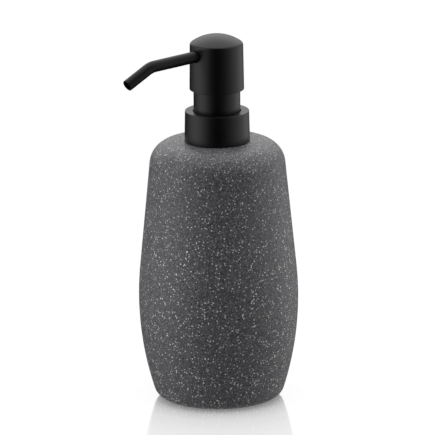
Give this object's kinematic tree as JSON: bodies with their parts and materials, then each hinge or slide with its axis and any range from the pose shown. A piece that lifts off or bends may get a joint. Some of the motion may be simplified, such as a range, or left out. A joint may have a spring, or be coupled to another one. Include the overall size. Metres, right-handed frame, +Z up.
{
  "type": "soap pump dispenser",
  "caption": "Free-standing soap dispenser: a barrel-shaped speckled stone bottle with a black screw-on lotion pump, press-down head and bent side spout.",
  "frame": {"origin": "centre of the base pad's underside, on the surface that the dispenser stands on", "axes": "+Z up along the bottle's and the pump's common axis; the spout points to -Y, the front; +X is to the right seen from the front"},
  "size_m": [0.0802, 0.0974, 0.1869],
  "materials": {
    "speckled_stone": "fine matte cast stone, charcoal with white flecks",
    "rubber_pad": "matte black rubber, cut from sheet",
    "black_shell": "satin black moulded plastic",
    "black_tube": "satin black coated steel tube",
    "black_inner": "black moulded plastic, inner pieces",
    "natural_plastic": "milky natural polypropylene",
    "clear_tube": "translucent extruded tube",
    "grey_seal": "grey elastomer",
    "spring_steel": "drawn stainless wire",
    "polished_steel": "polished stainless ball"
  },
  "bodies": {
    "bottle": {"bottle": "speckled_stone", "base_pad": "rubber_pad", "neck_insert": "natural_plastic"},
    "gasket": {"neck_gasket": "grey_seal"},
    "pump": {"housing": "natural_plastic", "chaplet": "black_inner", "chaplet_sleeve": "black_shell", "dip_tube": "clear_tube"},
    "collar": {"collar_core": "black_inner", "collar_shell": "black_shell"},
    "spring": {"return_spring": "spring_steel"},
    "head": {"stem": "black_inner", "piston_rod": "natural_plastic", "head_core": "black_inner", "head_shell": "black_shell", "spout_tube": "black_tube"},
    "piston": {"piston": "natural_plastic"},
    "inlet_ball": {"inlet_ball": "polished_steel"}
  },
  "joints": [
    {"name": "pump_lift", "type": "slide", "parent": "bottle", "child": "gasket", "axis": [0, 0, 1], "range_m": [0, 0.14]},
    {"name": "pump_rise", "type": "slide", "parent": "gasket", "child": "pump", "axis": [0, 0, 1], "range_m": [0, 0.00635]},
    {"name": "collar_turn", "type": "hinge", "parent": "pump", "child": "collar", "pos_m": [0, 0, 0.14], "axis": [0, 0, 1], "range_deg": [0, 540]},
    {"name": "head_press", "type": "slide", "parent": "pump", "child": "spring", "axis": [0, 0, -1], "range_m": [0, 0.0105], "stiffness_N_per_m": 600, "springref_m": -0.015, "deforming": ["return_spring"]},
    {"name": "head_swivel", "type": "hinge", "parent": "spring", "child": "head", "pos_m": [0, 0, 0.16], "axis": [0, 0, 1], "continuous": true},
    {"name": "piston_float", "type": "slide", "parent": "head", "child": "piston", "axis": [0, 0, 1], "range_m": [0, 0.001]},
    {"name": "inlet_ball_lift", "type": "slide", "parent": "pump", "child": "inlet_ball", "axis": [0, 0, 1], "range_m": [0, 0.0015]}
  ],
  "couplings": [
    {"joint": "pump_rise", "follows": "collar_turn", "m_per_rad": 0.00067322}
  ]
}
